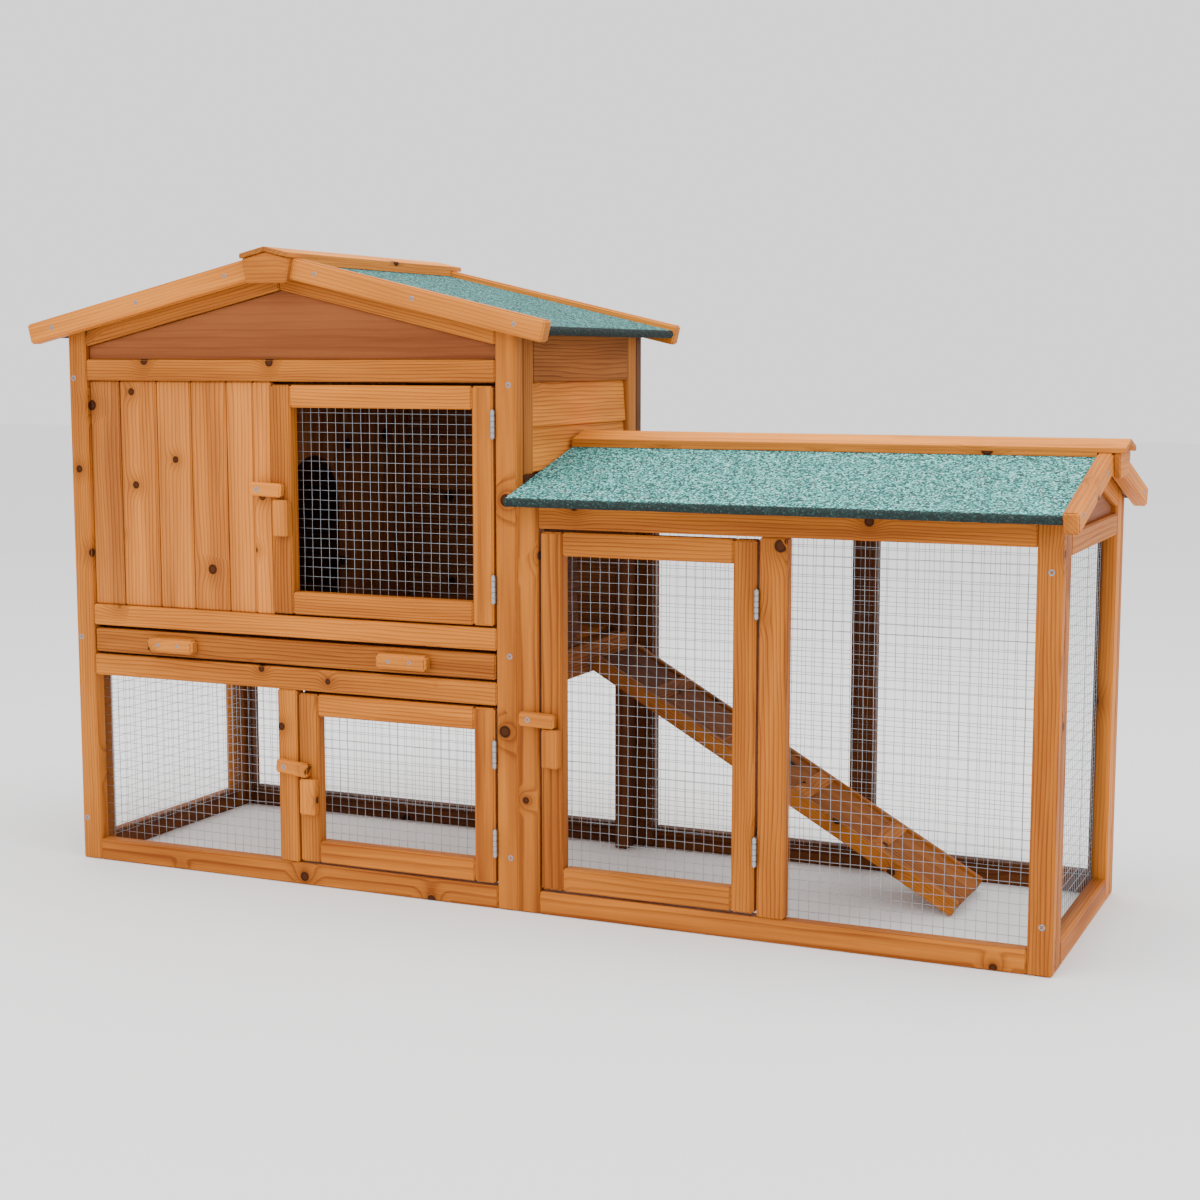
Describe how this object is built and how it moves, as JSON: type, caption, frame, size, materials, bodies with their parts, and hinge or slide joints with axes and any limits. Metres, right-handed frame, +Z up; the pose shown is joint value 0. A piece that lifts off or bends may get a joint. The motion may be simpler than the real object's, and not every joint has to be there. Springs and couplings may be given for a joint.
{
  "type": "rabbit hutch",
  "caption": "Wooden rabbit hutch: gabled house on an open lower level, joined to a lower wire mesh run, with hinged doors, turn buttons, a pull-out tray and a ramp.",
  "frame": {"origin": "centre of the whole hutch in plan, at the ground under its feet", "axes": "+X along the hutch from the house to the run, +Y from the front to the back, +Z up"},
  "size_m": [1.487, 0.496, 0.8634],
  "materials": {
    "frame": "honey stained fir, satin",
    "boards": "honey stained fir boards, satin",
    "plywood": "stained plywood, matt",
    "trim": "honey stained fir trim, satin",
    "felt": "green mineral roofing felt, rough",
    "wire": "galvanised welded wire",
    "zinc": "bright zinc plate"
  },
  "bodies": {
    "hutch": {"house_front_frame": "frame", "house_back_frame": "frame", "house_left_frame": "frame", "house_front_boards": "boards", "house_front_gable": "plywood", "house_back_boards": "boards", "house_left_boards": "boards", "house_right_wall": "boards", "partition_with_arch": "boards", "run_front_frame": "frame", "run_back_frame": "frame", "run_end_frame": "frame", "house_front_mesh": "wire", "house_back_mesh": "wire", "house_left_mesh": "wire", "run_front_mesh": "wire", "run_back_mesh": "wire", "run_end_mesh": "wire", "tray_runner_left": "frame", "tray_runner_right": "frame", "upper_hinge_lower": "zinc", "upper_hinge_upper": "zinc", "lower_hinge_lower": "zinc", "lower_hinge_upper": "zinc", "run_hinge_lower": "zinc", "run_hinge_upper": "zinc", "ramp_rail_front": "frame", "ramp_rail_back": "frame", "ramp_board": "boards", "main_roof_left": "felt", "main_roof_right": "felt", "main_barge_front_left": "trim", "main_barge_front_right": "trim", "main_barge_back_left": "trim", "main_barge_back_right": "trim", "main_finial_front": "trim", "main_finial_back": "trim", "main_ridge_cap": "trim", "run_roof_front": "felt", "run_roof_back": "felt", "run_barge_front": "trim", "run_barge_back": "trim", "run_finial": "trim", "run_ridge_cap": "trim"},
    "upper_door": {"upper_door_frame": "frame", "upper_door_mesh": "wire", "upper_button_stop": "trim"},
    "lower_door": {"lower_door_frame": "frame", "lower_door_mesh": "wire", "lower_button_stop": "trim"},
    "run_door": {"run_door_frame": "frame", "run_door_mesh": "wire", "run_button_stop": "trim"},
    "upper_button": {"upper_turn_button": "trim"},
    "lower_button": {"lower_turn_button": "trim"},
    "run_button": {"run_turn_button": "trim"},
    "tray": {"tray_front": "frame", "tray_pan": "boards", "tray_handle_left": "trim", "tray_handle_right": "trim"}
  },
  "joints": [
    {"name": "upper_door_hinge", "type": "hinge", "parent": "hutch", "child": "upper_door", "pos_m": [-0.0205, -0.2085, 0.528], "axis": [0, 0, 1], "range_deg": [0, 120]},
    {"name": "lower_door_hinge", "type": "hinge", "parent": "hutch", "child": "lower_door", "pos_m": [-0.0205, -0.2085, 0.149], "axis": [0, 0, 1], "range_deg": [0, 150]},
    {"name": "run_door_hinge", "type": "hinge", "parent": "hutch", "child": "run_door", "pos_m": [0.3375, -0.2085, 0.266], "axis": [0, 0, 1], "range_deg": [0, 160]},
    {"name": "upper_button_pivot", "type": "hinge", "parent": "hutch", "child": "upper_button", "pos_m": [-0.3728, -0.211, 0.5425], "axis": [0, -1, 0], "range_deg": [0, 95]},
    {"name": "lower_button_pivot", "type": "hinge", "parent": "hutch", "child": "lower_button", "pos_m": [-0.3385, -0.211, 0.1645], "axis": [0, -1, 0], "range_deg": [0, 95]},
    {"name": "run_button_pivot", "type": "hinge", "parent": "hutch", "child": "run_button", "pos_m": [0.0313, -0.211, 0.2575], "axis": [0, -1, 0], "range_deg": [0, 95]},
    {"name": "tray_slide", "type": "slide", "parent": "hutch", "child": "tray", "axis": [0, -1, 0], "range_m": [0, 0.34]}
  ]
}
